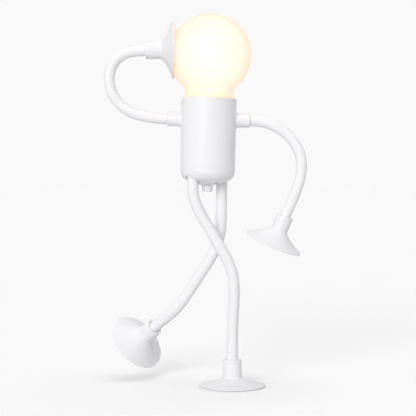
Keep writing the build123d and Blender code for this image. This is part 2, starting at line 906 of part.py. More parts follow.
tip_straight = cup_bore_depth
arm_root_depth = stub_reach - shoulder_bore_end - hip_root_gap
arm_root_core = shoulder_bore_end + hip_root_gap - pad_face + flange_thickness + ferrule_length
leg_root_depth = hip_bore_top - hip_root_gap - hip_level
leg_root_core = hip_web + hip_root_gap + flange_thickness + ferrule_length
raised_shoulder, lowered_shoulder = [shoulder_centre + way * stub_reach for way in shoulder_ways]
lifted_hip = standing_hip + hip_out * (2 * hip_ring_radius)

# Raised arm: its hand cups the side of the globe
globe_centre = torso_foot + torso_up * globe_height
hand_tilt = math.radians(raised_hand_tilt)
raised_opening = Vector(math.cos(hand_tilt), 0, math.sin(hand_tilt))
raised_side = Vector(-math.sin(hand_tilt), 0, math.cos(hand_tilt))
raised_rim = globe_centre - raised_opening * (globe_radius - press_depth) + raised_side * hand_rise
raised_mouth = raised_rim - raised_opening * pressed_cup_height
raised_route = route(
    raised_shoulder,
    -torso_right,
    arm_root_depth,
    raised_arm_lead,
    raised_arm_shares,
    raised_mouth,
    raised_opening,
    raised_arm_tail,
)
raised_stations = [
    (1, along(raised_route[1], raised_route[2], raised_shoulder_share)),
    (2, along(raised_route[2], raised_route[3], middle_share)),
]
limb(
    "raised_arm",
    ("root", "upper", "fore"),
    raised_route,
    raised_arm_bends,
    raised_stations,
    arm_hose_radius,
    arm_root_depth,
    arm_root_core,
    tip_straight,
)
cup(
    "raised_hand_cup",
    raised_mouth,
    raised_opening,
    hand_rim_radius,
    hand_sleeve_radius,
    pressed_cup_height,
    arm_hose_radius,
)

# Lowered arm
lowered_opening = lowered_hand_opening.normalized()
lowered_mouth = lowered_shoulder + Vector(lowered_hand_right, lowered_hand_back, -lowered_hand_drop)
lowered_route = route(
    lowered_shoulder,
    torso_right,
    arm_root_depth,
    lowered_arm_lead,
    lowered_arm_shares,
    lowered_mouth,
    lowered_opening,
    lowered_arm_tail,
)
lowered_stations = [
    (1, along(lowered_route[1], lowered_route[2], lowered_shoulder_share)),
    (2, along(lowered_route[2], lowered_route[3], middle_share)),
    (4, lowered_mouth - lowered_opening * wrist_rise),
]
limb(
    "lowered_arm",
    ("root", "upper", "fore", "hand"),
    lowered_route,
    lowered_arm_bends,
    lowered_stations,
    arm_hose_radius,
    arm_root_depth,
    arm_root_core,
    tip_straight,
)
cup(
    "lowered_hand_cup",
    lowered_mouth,
    lowered_opening,
    hand_rim_radius,
    hand_sleeve_radius,
    free_cup_height,
    arm_hose_radius,
)

# Standing leg: its foot is pressed flat, with the rim's centre at the origin
standing_opening = Vector(0, 0, -1)
standing_mouth = Vector(0, 0, pressed_cup_height)
standing_route = route(
    standing_hip,
    -torso_up,
    leg_root_depth,
    standing_leg_lead,
    standing_leg_shares,
    standing_mouth,
    standing_opening,
    standing_leg_tail,
)
standing_stations = [
    (0, standing_hip - torso_up * hip_drop),
    (1, along(standing_route[1], standing_route[2], middle_share)),
    (3, standing_mouth - standing_opening * wrist_rise),
]
limb(
    "standing_leg",
    ("root", "thigh", "shin", "foot"),
    standing_route,
    standing_leg_bends,
    standing_stations,
    leg_hose_radius,
    leg_root_depth,
    leg_root_core,
    tip_straight,
)
cup(
    "standing_foot_cup",
    standing_mouth,
    standing_opening,
    pressed_foot_rim_radius,
    foot_sleeve_radius,
    pressed_cup_height,
    leg_hose_radius,
)

# Lifted leg
lifted_opening = lifted_foot_opening.normalized()
lifted_mouth = lifted_hip + Vector(-lifted_foot_left, lifted_foot_back, -lifted_foot_drop)
lifted_route = route(
    lifted_hip,
    -torso_up,
    leg_root_depth,
    lifted_leg_lead,
    (),
    lifted_mouth,
    lifted_opening,
    lifted_leg_tail,
)
lifted_stations = [
    (0, lifted_hip - torso_up * hip_drop),
    (1, along(lifted_route[1], lifted_route[2], middle_share)),
    (2, lifted_mouth - lifted_opening * wrist_rise),
]
limb(
    "lifted_leg",
    ("root", "thigh", "shin", "foot"),
    lifted_route,
    lifted_leg_bends,
    lifted_stations,
    leg_hose_radius,
    leg_root_depth,
    leg_root_core,
    tip_straight,
)
cup(
    "lifted_foot_cup",
    lifted_mouth,
    lifted_opening,
    foot_rim_radius,
    foot_sleeve_radius,
    free_cup_height,
    leg_hose_radius,
)
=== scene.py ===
import json
import math

import bmesh
import bpy
import numpy
from mathutils import Matrix, Vector


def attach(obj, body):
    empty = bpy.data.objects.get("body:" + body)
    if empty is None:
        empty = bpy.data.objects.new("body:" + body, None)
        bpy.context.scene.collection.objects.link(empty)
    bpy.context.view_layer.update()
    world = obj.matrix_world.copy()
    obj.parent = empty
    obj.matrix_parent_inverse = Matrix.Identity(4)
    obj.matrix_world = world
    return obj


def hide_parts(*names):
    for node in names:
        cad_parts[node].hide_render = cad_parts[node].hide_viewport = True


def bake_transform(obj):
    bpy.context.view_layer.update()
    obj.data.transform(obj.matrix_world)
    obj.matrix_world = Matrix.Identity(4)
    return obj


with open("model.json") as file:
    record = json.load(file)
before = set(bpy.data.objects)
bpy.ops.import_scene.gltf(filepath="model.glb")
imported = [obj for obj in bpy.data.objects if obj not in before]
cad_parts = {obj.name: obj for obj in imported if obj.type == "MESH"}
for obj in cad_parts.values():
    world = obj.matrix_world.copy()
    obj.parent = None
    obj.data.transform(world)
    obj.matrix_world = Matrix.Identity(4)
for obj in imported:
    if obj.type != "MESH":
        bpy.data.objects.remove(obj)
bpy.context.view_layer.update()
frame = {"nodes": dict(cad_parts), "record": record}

# Figure lamp. Lengths are in millimetres times MM, and heights in the torso run up its axis. Angles are in
# radians, but for those of sharp edges, the camera's dip and the lights' widths, which are in degrees.
MM = 0.001

# Torso frame: the foot of its axis, and its directions
body_lean = math.radians(1.2)
torso_up = Vector((math.sin(body_lean), 0, math.cos(body_lean)))
torso_right = Vector((math.cos(body_lean), 0, -math.sin(body_lean)))
torso_back = Vector((0, 1, 0))
torso_foot = Vector((-24.43, -4.03, 197.3)) * MM

# Casing
seam_height = 15.2 * MM
seam_chamfer = 0.18 * MM
casing_height = 84.7 * MM
casing_top_radius = 27.0 * MM
casing_seam_radius = 26.5 * MM
casing_edge = 1.0 * MM
mouth_radius = 24.4 * MM
lower_wall = 1.7 * MM
shelf_top = 45.4 * MM
shelf_thickness = 2.4 * MM
shelf_round = 0.6 * MM
casing_segments = 160

# Inlet's seat and hole in the casing
inlet_height = 32.0 * MM
inlet_face = 25.5 * MM
inlet_seat_radius = 5.9 * MM
inlet_seat_overrun = 2.0 * MM
inlet_hole_radius = 4.1 * MM
inlet_hole_start = 20.0 * MM
inlet_hole_overrun = 1.0 * MM

# Shoulder stubs
stub_height = 64.1 * MM
stub_reach = 40.2 * MM
stub_radius = 6.95 * MM
stub_blend = 2.4 * MM
stub_sink = 0.03 * MM
stub_straight_start = 32.0 * MM
stub_edge = 0.6 * MM
stub_bore_edge = 0.25 * MM
stub_bore_end = 27.4 * MM
stub_cut_margin = 1.0 * MM
stub_cut_start = 20.0 * MM
stub_cut_end = 30.0 * MM
stub_blend_steps = 8
stub_segments = 72

# Dome and the holes in it
dome_radius = 45.0 * MM
dome_corner = 10.0 * MM
dome_steps = 24
dome_corner_steps = 14
dome_segments = 144
hip_ring = 18.7 * MM
hip_angle = math.radians(41)
hip_hole_radius = 6.3 * MM
hip_hole_depth = 14.0 * MM
screw_ring = 13.5 * MM
screw_well_radius = 2.5 * MM
screw_well_depth = 6.0 * MM
screw_well_segments = 48
button_hole_radius = 5.6 * MM
button_hole_depth = 9.0 * MM
cut_overrun = 5.0 * MM

# Push button
button_radius = 5.35 * MM
button_drop = 6.0 * MM
button_edge = 1.3 * MM
flange_radius = 6.4 * MM
flange_bottom = 6.4 * MM
flange_top = 8.0 * MM
stem_radius = 1.8 * MM
stem_top = 17.8 * MM
button_segments = 96

# Return spring
spring_radius = 3.0 * MM
spring_wire_radius = 0.35 * MM
spring_start = 8.45 * MM
spring_end = 19.55 * MM
spring_turns = 5
spring_turn_steps = 32
spring_wire_sides = 10

# Bulb
globe_radius = 40.1 * MM
globe_height = 127.4 * MM
neck_radius = 23.85 * MM
neck_blend = 8.0 * MM
neck_start = 82.0 * MM
globe_steps = 60
neck_steps = 14
globe_segments = 160
glow_inset = 1.4 * MM
glow_bottom = 84.0 * MM
glow_segments = 96

# Hoses, and what eases their routes: the stiffness smooths a route, and the hold keeps its ends in place
arm_radius = 5.3 * MM
leg_radius = 5.5 * MM
arm_straight = 12.0 * MM
leg_straight = 13.0 * MM
hose_fit = 0.5 * MM
hose_step = 0.5 * MM
hose_segments = 40
route_step = 1.0 * MM
route_bend_steps = 24
route_stiffness = 4500
route_hold = 2000
rib_pitch = 1.25 * MM
groove_depth = 0.28 * MM
groove_width = 0.45 * MM

# Cups: what all four share
sleeve_length = 15.6 * MM
sleeve_edge = 0.7 * MM
sleeve_taper = 0.2 * MM
sleeve_straight_gap = 2.0 * MM
cup_bore_depth = 13.0 * MM
cup_bore_edge = 0.35 * MM
cup_throat = 15.0 * MM
cup_throat_radius = 5.0 * MM
throat_round = 1.2 * MM
throat_flare = 1.5 * MM
lip_thickness = 1.0 * MM
lip_width = 1.2 * MM
lip_edge = 0.3 * MM
lip_corner = 0.12 * MM
flare_share = 0.045
flare_lean_share = 0.25
flare_steps = 22
flare_root_step = 4
hollow_share = 0.85
hollow_lift = 0.2 * MM
cup_turn_steps = 6
flare_root_steps = 8
lip_steps = 5
undercut_steps = 4
cup_segments = 120

# Cups: hands and feet
hand_rim = 28.7 * MM
hand_sleeve = 8.2 * MM
hand_bulge = 1.9 * MM
hand_tip = 1.7 * MM
foot_rim = 30.1 * MM
foot_sleeve = 9.1 * MM
free_height = 30.2 * MM
free_root_bend = 3.2 * MM
pressed_rim = 32.6 * MM
pressed_height = 26.6 * MM
pressed_root_bend = 2.2 * MM
pressed_squash = 2.0 * MM
pressed_undercut = 0.75 * MM

# Mesh making: an edge that turns by more than the angle, in degrees, stays sharp
smooth_angle = 40
cut_angle = 28
stub_angle = 50
cup_angle = 55
axis_reach = 0.001 * MM
weld_distance = 0.002 * MM
parallel_limit = 0.1
arc_steps = 10
lathe_segments = 128
rod_segments = 72


def on_axis(height):
    return torso_foot + torso_up * height


def hip_direction(turn):
    return torso_right * math.cos(turn) + torso_back * math.sin(turn)


# Mesh helpers


def finish_mesh(bm, name, sharp_angle=smooth_angle):
    """Makes an object of a bmesh, smooth but for its sharp edges."""
    bmesh.ops.recalc_face_normals(bm, faces=bm.faces)
    for face in bm.faces:
        face.smooth = True
    limit = math.radians(sharp_angle)
    for edge in bm.edges:
        if len(edge.link_faces) == 2 and edge.calc_face_angle(0) > limit:
            edge.smooth = False
    mesh = bpy.data.meshes.new(name)
    bm.to_mesh(mesh)
    bm.free()
    piece = bpy.data.objects.new(name, mesh)
    bpy.context.scene.collection.objects.link(piece)
    return piece


def bridge(bm, first, second):
    """Joins two rings of vertices, either of which may be a single point, with faces."""
    count = max(len(first), len(second))
    if count == 1:
        return
    for k in range(count):
        n = (k + 1) % count
        if len(first) == 1:
            bm.faces.new((first[0], second[n], second[k]))
        elif len(second) == 1:
            bm.faces.new((first[k], first[n], second[0]))
        else:
            bm.faces.new((first[k], first[n], second[n], second[k]))


def square_to(axis):
    """A direction square to the axis."""
    side = axis.cross(Vector((0, 1, 0)))
    if side.length < parallel_limit:
        side = axis.cross(Vector((1, 0, 0)))
    return side.normalized()


def rounded(corners, radii, steps=arc_steps):
    """A path through corners, with a tangent arc of its own radius at each inner one."""
    points = [corners[0]]
    for i in range(1, len(corners) - 1):
        before = (corners[i - 1] - corners[i]).normalized()
        after = (corners[i + 1] - corners[i]).normalized()
        radius = radii[i - 1]
        if radius <= 0:
            points.append(corners[i])
            continue
        half = before.angle(after) / 2
        centre = corners[i] + (before + after).normalized() * (radius / math.sin(half))
        start = corners[i] + before * (radius / math.tan(half))
        end = corners[i] + after * (radius / math.tan(half))
        sweep = math.pi - 2 * half
        first = start - centre
        normal = first.cross(end - centre).normalized()
        for k in range(steps + 1):
            points.append(centre + Matrix.Rotation(sweep * k / steps, 3, normal) @ first)
    points.append(corners[-1])
    return points


def flat(*pairs):
    return [Vector((r, h, 0)) for r, h in pairs]


def lathe_rings(bm, profile, origin, axis, segments, bend):
    """Turns a half outline of (radius, height) points about an axis, into a bmesh."""
    side = square_to(axis)
    deep = axis.cross(side)
    rings = []
    for point in profile:
        radius, height = point.x, point.y
        if radius < axis_reach:
            rings.append([bm.verts.new(origin + axis * height)])
            continue
        ring = []
        for k in range(segments):
            angle = 2 * math.pi * k / segments
            lift = bend(radius, angle) if bend else 0
            way = side * math.cos(angle) + deep * math.sin(angle)
            ring.append(bm.verts.new(origin + way * radius + axis * (height + lift)))
        rings.append(ring)
    for below, above in zip(rings, rings[1:]):
        bridge(bm, below, above)


def lathe(name, profile, origin, axis, segments=lathe_segments, bend=None, sharp_angle=smooth_angle):
    """A turned piece. bend(radius, angle) lifts its points along the axis."""
    bm = bmesh.new()
    lathe_rings(bm, profile, origin, axis, segments, bend)
    return finish_mesh(bm, name, sharp_angle)


def rod(origin, axis, radius, start, end, segments=rod_segments):
    """A closed cylinder, to cut holes with."""
    profile = flat((0, start), (radius, start), (radius, end), (0, end))
    return lathe("cutter", profile, origin, axis, segments)


def cut(piece, cutters):
    """Cuts closed shapes out of a closed mesh."""
    for cutter in cutters:
        modifier = piece.modifiers.new("cut", "BOOLEAN")
        modifier.operation = "DIFFERENCE"
        modifier.solver = "EXACT"
        modifier.object = cutter
    bpy.context.view_layer.update()
    evaluated = piece.evaluated_get(bpy.context.evaluated_depsgraph_get())
    mesh = bpy.data.meshes.new_from_object(evaluated)
    piece.modifiers.clear()
    piece.data = mesh
    for cutter in cutters:
        bpy.data.objects.remove(cutter)
    bm = bmesh.new()
    bm.from_mesh(mesh)
    bmesh.ops.remove_doubles(bm, verts=bm.verts, dist=weld_distance)
    for face in bm.faces:
        face.smooth = True
    for edge in bm.edges:
        if len(edge.link_faces) == 2:
            edge.smooth = edge.calc_face_angle(0) < math.radians(cut_angle)
    bm.to_mesh(mesh)
    bm.free()


# Materials: what the moulded and machined ones share
fine_detail = 3
slow_scale = 28
slow_detail = 2
gloss_spread = 0.05
grain_depth = 0.1 * MM
rib_depth = 0.12 * MM
rib_strength = 0.1
skin_depth = 1.5 * MM
skin_tint_shares = (1.0, 0.9, 0.8)
# Painted glow: a faint emission colour for parts inside the globe that are no lamps, standing in for the
# light that falls on them
painted_glow_tone = (1.0, 0.96, 0.9)

# Materials: the globe's skin, the light that it casts on what is near, and the glow within
opal_tone = (0.76, 0.5, 0.4)
opal_roughness = 0.32
opal_lit_tone = (1.0, 0.6, 0.36)
opal_lit_level = 0.34
opal_cover = 0.55
cast_tone = (1.0, 0.54, 0.2)
cast_level = 0.28
glow_tone = (0.9, 0.95, 1.0)
glow_level = 9.5

# Sockets of a colour mix, by number because its sockets for other kinds of value share their names
mix_share = 0
mix_first = 6
mix_second = 7
mix_result = 2


def new_material(name):
    material = bpy.data.materials.new(name)
    material.use_nodes = True
    return material, material.node_tree.nodes, material.node_tree.links


def add_math(nodes, operation, value=None):
    """A math node, with its second value set where one is given."""
    node = nodes.new("ShaderNodeMath")
    node.operation = operation
    if value is not None:
        node.inputs[1].default_value = value
    return node


def add_mix(nodes, first, second):
    """A mix of two colours."""
    node = nodes.new("ShaderNodeMix")
    node.data_type = "RGBA"
    node.inputs[mix_first].default_value = (*first, 1)
    node.inputs[mix_second].default_value = (*second, 1)
    return node


def add_noise(nodes, scale, detail):
    node = nodes.new("ShaderNodeTexNoise")
    node.inputs["Scale"].default_value = scale
    node.inputs["Detail"].default_value = detail
    return node


def add_bump(nodes, strength, distance):
    node = nodes.new("ShaderNodeBump")
    node.inputs["Strength"].default_value = strength
    node.inputs["Distance"].default_value = distance
    return node


def moulded(
    name,
    colour,
    roughness,
    metallic=0.0,
    grain=1400,
    grain_height=0.03,
    tint=0.012,
    gloss_level=0.5,
    subsurface=0.0,
    painted_glow=0.0,
):
    """A moulded or machined surface: a fine grain, slow changes of gloss, and a faint change of tone. A
    painted glow, where one is given, is emission that stands in for light falling on the surface.
    """
    material, nodes, links = new_material(name)
    shader = nodes["Principled BSDF"]
    shader.inputs["Metallic"].default_value = metallic
    shader.inputs["Specular IOR Level"].default_value = gloss_level
    # Painted light: the surface glows though it is no lamp
    if painted_glow:
        shader.inputs["Emission Color"].default_value = (*painted_glow_tone, 1)
        shader.inputs["Emission Strength"].default_value = painted_glow
    if subsurface:
        shader.inputs["Subsurface Weight"].default_value = subsurface
        shader.inputs["Subsurface Radius"].default_value = skin_tint_shares
        shader.inputs["Subsurface Scale"].default_value = skin_depth
    place = nodes.new("ShaderNodeTexCoord")
    fine = add_noise(nodes, grain, fine_detail)
    slow = add_noise(nodes, slow_scale, slow_detail)
    links.new(place.outputs["Object"], fine.inputs["Vector"])
    links.new(place.outputs["Object"], slow.inputs["Vector"])
    gloss = nodes.new("ShaderNodeMapRange")
    gloss.inputs["To Min"].default_value = roughness - gloss_spread
    gloss.inputs["To Max"].default_value = roughness + gloss_spread
    links.new(slow.outputs["Fac"], gloss.inputs["Value"])
    links.new(gloss.outputs["Result"], shader.inputs["Roughness"])
    tone = add_mix(nodes, [max(c - tint, 0) for c in colour], colour)
    links.new(slow.outputs["Fac"], tone.inputs[mix_share])
    links.new(tone.outputs[mix_result], shader.inputs["Base Color"])
    bump = add_bump(nodes, grain_height, grain_depth)
    links.new(fine.outputs["Fac"], bump.inputs["Height"])
    links.new(bump.outputs["Normal"], shader.inputs["Normal"])
    return material


def ribbed(name, colour, roughness, **looks):
    """Hose silicone: fine rings along its length over a soft matte skin."""
    material = moulded(name, colour, roughness, **looks)
    nodes, links = material.node_tree.nodes, material.node_tree.links
    grain_bump = nodes["Bump"]
    run = nodes.new("ShaderNodeAttribute")
    run.attribute_name = "along"
    turn = add_math(nodes, "MULTIPLY", 2 * math.pi / rib_pitch)
    wave = add_math(nodes, "SINE")
    links.new(run.outputs["Fac"], turn.inputs[0])
    links.new(turn.outputs[0], wave.inputs[0])
    rib_bump = add_bump(nodes, rib_strength, rib_depth)
    links.new(wave.outputs[0], rib_bump.inputs["Height"])
    links.new(grain_bump.outputs["Normal"], rib_bump.inputs["Normal"])
    links.new(rib_bump.outputs["Normal"], nodes["Principled BSDF"].inputs["Normal"])
    return material


def opal():
    """The lit opal glass: a warm glowing skin that shows the glow within, and lights what is near."""
    material, nodes, links = new_material("opal_glass")
    skin = nodes["Principled BSDF"]
    skin.inputs["Base Color"].default_value = (*opal_tone, 1)
    skin.inputs["Roughness"].default_value = opal_roughness
    skin.inputs["Emission Color"].default_value = (*opal_lit_tone, 1)
    skin.inputs["Emission Strength"].default_value = opal_lit_level
    clear = nodes.new("ShaderNodeBsdfTransparent")
    seen = nodes.new("ShaderNodeLightPath")
    cover = add_math(nodes, "MAXIMUM", opal_cover)
    links.new(seen.outputs["Is Diffuse Ray"], cover.inputs[0])
    glass = nodes.new("ShaderNodeMixShader")
    links.new(cover.outputs[0], glass.inputs["Fac"])
    links.new(clear.outputs[0], glass.inputs[1])
    links.new(skin.outputs[0], glass.inputs[2])
    strength = add_math(nodes, "MULTIPLY", cast_level)
    links.new(seen.outputs["Is Diffuse Ray"], strength.inputs[0])
    cast = nodes.new("ShaderNodeEmission")
    cast.inputs["Color"].default_value = (*cast_tone, 1)
    links.new(strength.outputs[0], cast.inputs["Strength"])
    both = nodes.new("ShaderNodeAddShader")
    links.new(glass.outputs[0], both.inputs[0])
    links.new(cast.outputs[0], both.inputs[1])
    links.new(both.outputs[0], nodes["Material Output"].inputs["Surface"])
    return material


def glow():
    """The light within the globe."""
    material, nodes, links = new_material("globe_light")
    nodes.remove(nodes["Principled BSDF"])
    light = nodes.new("ShaderNodeEmission")
    light.inputs["Color"].default_value = (*glow_tone, 1)
    light.inputs["Strength"].default_value = glow_level
    links.new(light.outputs[0], nodes["Material Output"].inputs["Volume"])
    return material


moulded_looks = {
    "white_shell": dict(colour=(0.875, 0.875, 0.892), roughness=0.42, gloss_level=0.4),
    "white_cup_silicone": dict(
        colour=(0.865, 0.865, 0.881),
        roughness=0.5,
        grain=1100,
        grain_height=0.05,
        gloss_level=0.25,
        subsurface=0.12,
    ),
    "core_steel": dict(colour=(0.5, 0.5, 0.51), roughness=0.38, metallic=1, grain=2200, grain_height=0.12),
    "zinc_steel": dict(colour=(0.64, 0.65, 0.66), roughness=0.3, metallic=1, grain=1800, grain_height=0.08),
    "dark_moulding": dict(colour=(0.03, 0.03, 0.034), roughness=0.5, tint=0.005),
    "brass": dict(
        colour=(0.72, 0.53, 0.25), roughness=0.28, metallic=1, grain=1600, grain_height=0.06, tint=0.03
    ),
    "wire_sleeve": dict(colour=(0.72, 0.72, 0.7), roughness=0.34),
    # The bulb's plastic parts and its board glow faintly: painted light, in place of the globe's light on
    # them
    "bulb_plastic": dict(colour=(0.86, 0.85, 0.82), roughness=0.45, painted_glow=0.15),
    "board_metal": dict(colour=(0.86, 0.86, 0.84), roughness=0.45, painted_glow=0.5),
    "cap_nickel": dict(colour=(0.72, 0.72, 0.7), roughness=0.2, metallic=1, grain=1500, grain_height=0.05),
    "cap_insulation": dict(colour=(0.02, 0.02, 0.022), roughness=0.25, tint=0.004),
    "cap_solder": dict(colour=(0.6, 0.6, 0.61), roughness=0.4, metallic=1, grain=900, grain_height=0.2),
}
hose_look = dict(
    colour=(0.9, 0.9, 0.914),
    roughness=0.52,
    grain=900,
    grain_height=0.04,
    gloss_level=0.25,
    subsurface=0.06,
)
materials = {name: moulded(name, **look) for name, look in moulded_looks.items()}
materials["white_silicone"] = ribbed("white_silicone", **hose_look)
materials["opal_glass"] = opal()
globe_light = glow()

# Solids: each gets its material, and nothing else about it changes
for part in frame["record"]["subparts"]:
    for material_slot in frame["nodes"][part["node"]].material_slots:
        material_slot.material = materials[part["material_slot"]]


def dress(piece, slot, body, *nodes):
    """Gives a piece its material, the solids that it replaces, and its body where it has just one."""
    piece.data.materials.clear()
    piece.data.materials.append(materials[slot])
    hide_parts(*nodes)
    if body:
        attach(piece, body)


# Casing: a turned cup with a rounded lip, cut for the inlet and for its two shoulder stubs
casing_outline = rounded(
    flat(
        (0, shelf_top),
        (mouth_radius, shelf_top),
        (mouth_radius, casing_height),
        (casing_top_radius, casing_height),
        (casing_seam_radius, seam_height + seam_chamfer),
        (casing_seam_radius - seam_chamfer, seam_height),
        (casing_seam_radius - lower_wall, seam_height),
        (casing_seam_radius - lower_wall, shelf_top - shelf_thickness),
        (0, shelf_top - shelf_thickness),
    ),
    (shelf_round, casing_edge, casing_edge, 0, 0, 0, shelf_round),
)
casing = lathe("casing_shell", casing_outline, torso_foot, torso_up, casing_segments)
inlet_point = on_axis(inlet_height)
stub_point = on_axis(stub_height)
cut(
    casing,
    [
        rod(inlet_point, torso_back, inlet_seat_radius, inlet_face, casing_top_radius + inlet_seat_overrun),
        rod(inlet_point, torso_back, inlet_hole_radius, inlet_hole_start, inlet_face + inlet_hole_overrun),
        rod(stub_point, torso_right, stub_radius - stub_cut_margin, stub_cut_start, stub_cut_end),
        rod(stub_point, -torso_right, stub_radius - stub_cut_margin, stub_cut_start, stub_cut_end),
    ],
)
dress(casing, "white_shell", "torso", "casing")


def stub(bm, way):
    """A shoulder stub whose root flares tangent to the casing's wall."""
    bore = arm_radius + hose_fit
    turns = [2 * math.pi * n / stub_segments for n in range(stub_segments)]
    rings = []
    for k in range(stub_blend_steps + 1):
        angle = math.pi / 2 * k / stub_blend_steps
        reach = stub_radius + stub_blend * (1 - math.sin(angle))
        height = stub_blend * (1 - math.cos(angle)) - stub_sink
        ring = []
        for turn in turns:
            back, up = reach * math.cos(turn), reach * math.sin(turn)
            share = (stub_height + up - seam_height) / (casing_height - seam_height)
            wall = casing_seam_radius + (casing_top_radius - casing_seam_radius) * share
            out = math.sqrt(wall**2 - back**2) + height
            ring.append(bm.verts.new(stub_point + torso_back * back + torso_up * up + way * out))
        rings.append(ring)
    outline = rounded(
        flat(
            (stub_radius, stub_straight_start),
            (stub_radius, stub_reach),
            (bore, stub_reach),
            (bore, stub_bore_end),
        ),
        (stub_edge, stub_bore_edge),
    )
    for point in outline:
        ring = []
        for turn in turns:
            spot = torso_back * (point.x * math.cos(turn)) + torso_up * (point.x * math.sin(turn))
            ring.append(bm.verts.new(stub_point + spot + way * point.y))
        rings.append(ring)
    for below, above in zip(rings, rings[1:]):
        bridge(bm, below, above)


stubs_bm = bmesh.new()
for way in (-torso_right, torso_right):
    stub(stubs_bm, way)
stubs = finish_mesh(stubs_bm, "shoulder_stubs", stub_angle)
stubs.data.materials.append(materials["white_shell"])
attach(stubs, "torso")


# Dome: a turned cap with a rounded corner, cut for the legs, the button and the screws


def dome_outline():
    """The outside, from the lowest point out to the seam."""
    ball = dome_radius - dome_corner
    centre_radius = casing_seam_radius - dome_corner
    centre_height = dome_radius - math.sqrt(ball**2 - centre_radius**2)
    meet = math.asin(centre_radius / ball)
    points = []
    for k in range(dome_steps + 1):
        angle = meet * k / dome_steps
        points.append((dome_radius * math.sin(angle), dome_radius - dome_radius * math.cos(angle)))
    for k in range(1, dome_corner_steps + 1):
        angle = meet + (math.pi / 2 - meet) * k / dome_corner_steps
        radius = centre_radius + dome_corner * math.sin(angle)
        points.append((radius, centre_height - dome_corner * math.cos(angle)))
    points.append((casing_seam_radius, seam_height - seam_chamfer))
    points.append((casing_seam_radius - seam_chamfer, seam_height))
    points.append((0, seam_height))
    return flat(*points)


dome = lathe("dome", dome_outline(), torso_foot, torso_up, dome_segments)
dome_cutters = [rod(torso_foot, torso_up, button_hole_radius, -cut_overrun, button_hole_depth)]
for turn in (hip_angle, hip_angle + math.pi):
    hip = torso_foot + hip_direction(turn) * hip_ring
    dome_cutters.append(rod(hip, torso_up, hip_hole_radius, -cut_overrun, hip_hole_depth))
for turn in (hip_angle + math.pi / 2, hip_angle - math.pi / 2):
    well = torso_foot + hip_direction(turn) * screw_ring
    well_rod = rod(well, torso_up, screw_well_radius, -cut_overrun, screw_well_depth, screw_well_segments)
    dome_cutters.append(well_rod)
cut(dome, dome_cutters)
dress(dome, "white_shell", "torso", "base_cap")

# Push button: a cap with a retaining flange and a stem
button_outline = rounded(
    flat(
        (0, -button_drop),
        (button_radius, -button_drop),
        (button_radius, flange_bottom),
        (flange_radius, flange_bottom),
        (flange_radius, flange_top),
        (stem_radius, flange_top),
        (stem_radius, stem_top),
        (0, stem_top),
    ),
    (button_edge, 0, 0, 0, 0, 0),
)
button = lathe("push_button", button_outline, torso_foot, torso_up, button_segments)
dress(button, "white_shell", "button", "switch_button")

# The button's return spring, a coil of wire about the button's axis
spring_bm = bmesh.new()
spring_rings = []
spring_steps = spring_turn_steps * spring_turns
for k in range(spring_steps + 1):
    turn = 2 * math.pi * k / spring_turn_steps
    height = spring_start + (spring_end - spring_start) * k / spring_steps
    out = torso_right * math.cos(turn) + torso_back * math.sin(turn)
    ring = []
    for n in range(spring_wire_sides):
        tilt = 2 * math.pi * n / spring_wire_sides
        reach = spring_radius + spring_wire_radius * math.cos(tilt)
        rise = height + spring_wire_radius * math.sin(tilt)
        ring.append(spring_bm.verts.new(torso_foot + out * reach + torso_up * rise))
    spring_rings.append(ring)
for below, above in zip(spring_rings, spring_rings[1:]):
    bridge(spring_bm, below, above)
spring_bm.faces.new(spring_rings[0])
spring_bm.faces.new(spring_rings[-1])
spring = finish_mesh(spring_bm, "return_spring")
dress(spring, "zinc_steel", None, "switch_spring")
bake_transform(spring)

# Bulb: the lit globe with its neck, and the light in it


def globe_outline(inset, bottom):
    """Half of the globe with its neck, set in from the glass, from the top down."""
    ball = globe_radius - inset
    neck = neck_radius - inset
    bend = neck_blend + inset
    out = neck + bend
    rise = math.sqrt((ball + bend) ** 2 - out**2)
    end = math.acos(-rise / (ball + bend))
    tilt = math.atan2(rise, out)
    points = []
    for k in range(globe_steps + 1):
        angle = end * k / globe_steps
        points.append((ball * math.sin(angle), globe_height + ball * math.cos(angle)))
    for k in range(1, neck_steps + 1):
        angle = tilt * (1 - k / neck_steps)
        points.append((out - bend * math.cos(angle), globe_height - rise + bend * math.sin(angle)))
    points.append((neck, bottom))
    return flat(*points)


globe = lathe("globe", globe_outline(0, neck_start), torso_foot, torso_up, globe_segments)
dress(globe, "opal_glass", "bulb", "globe_glass")
glow_outline = globe_outline(glow_inset, glow_bottom) + flat((0, glow_bottom))
globe_core = lathe("globe_glow", glow_outline, torso_foot, torso_up, glow_segments)
globe_core.data.materials.append(globe_light)
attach(globe_core, "bulb")


# Hoses: each limb is one smooth tube, cut midway between its joints so that each piece crosses one joint


def resample(points, step):
    """The same path in equal steps."""
    lengths_so_far = [0.0]
    for a, b in zip(points, points[1:]):
        lengths_so_far.append(lengths_so_far[-1] + (b - a).length)
    total = lengths_so_far[-1]
    count = max(2, round(total / step))
    result = []
    i = 0
    for k in range(count + 1):
        target = total * k / count
        while i < len(points) - 2 and lengths_so_far[i + 1] < target:
            i += 1
        span = lengths_so_far[i + 1] - lengths_so_far[i]
        share = (target - lengths_so_far[i]) / span if span > 0 else 0
        result.append(points[i].lerp(points[i + 1], share))
    return result


def smooth_path(corners, radii, straight):
    """The limb's centre line, straight at its ends, with its bends eased so that none starts abruptly."""
    points = resample(rounded(corners, radii, route_bend_steps), route_step)
    count = len(points)
    held = round(straight / route_step)
    bending = numpy.zeros((count - 2, count))
    for i in range(count - 2):
        bending[i, i : i + 3] = (1, -2, 1)
    hold = numpy.ones(count)
    hold[: held + 1] = route_hold
    hold[count - 1 - held :] = route_hold
    system = numpy.diag(hold) + route_stiffness * bending.T @ bending
    eased = numpy.linalg.solve(system, hold[:, None] * numpy.array([tuple(point) for point in points]))
    return resample([Vector(row) for row in eased], hose_step)


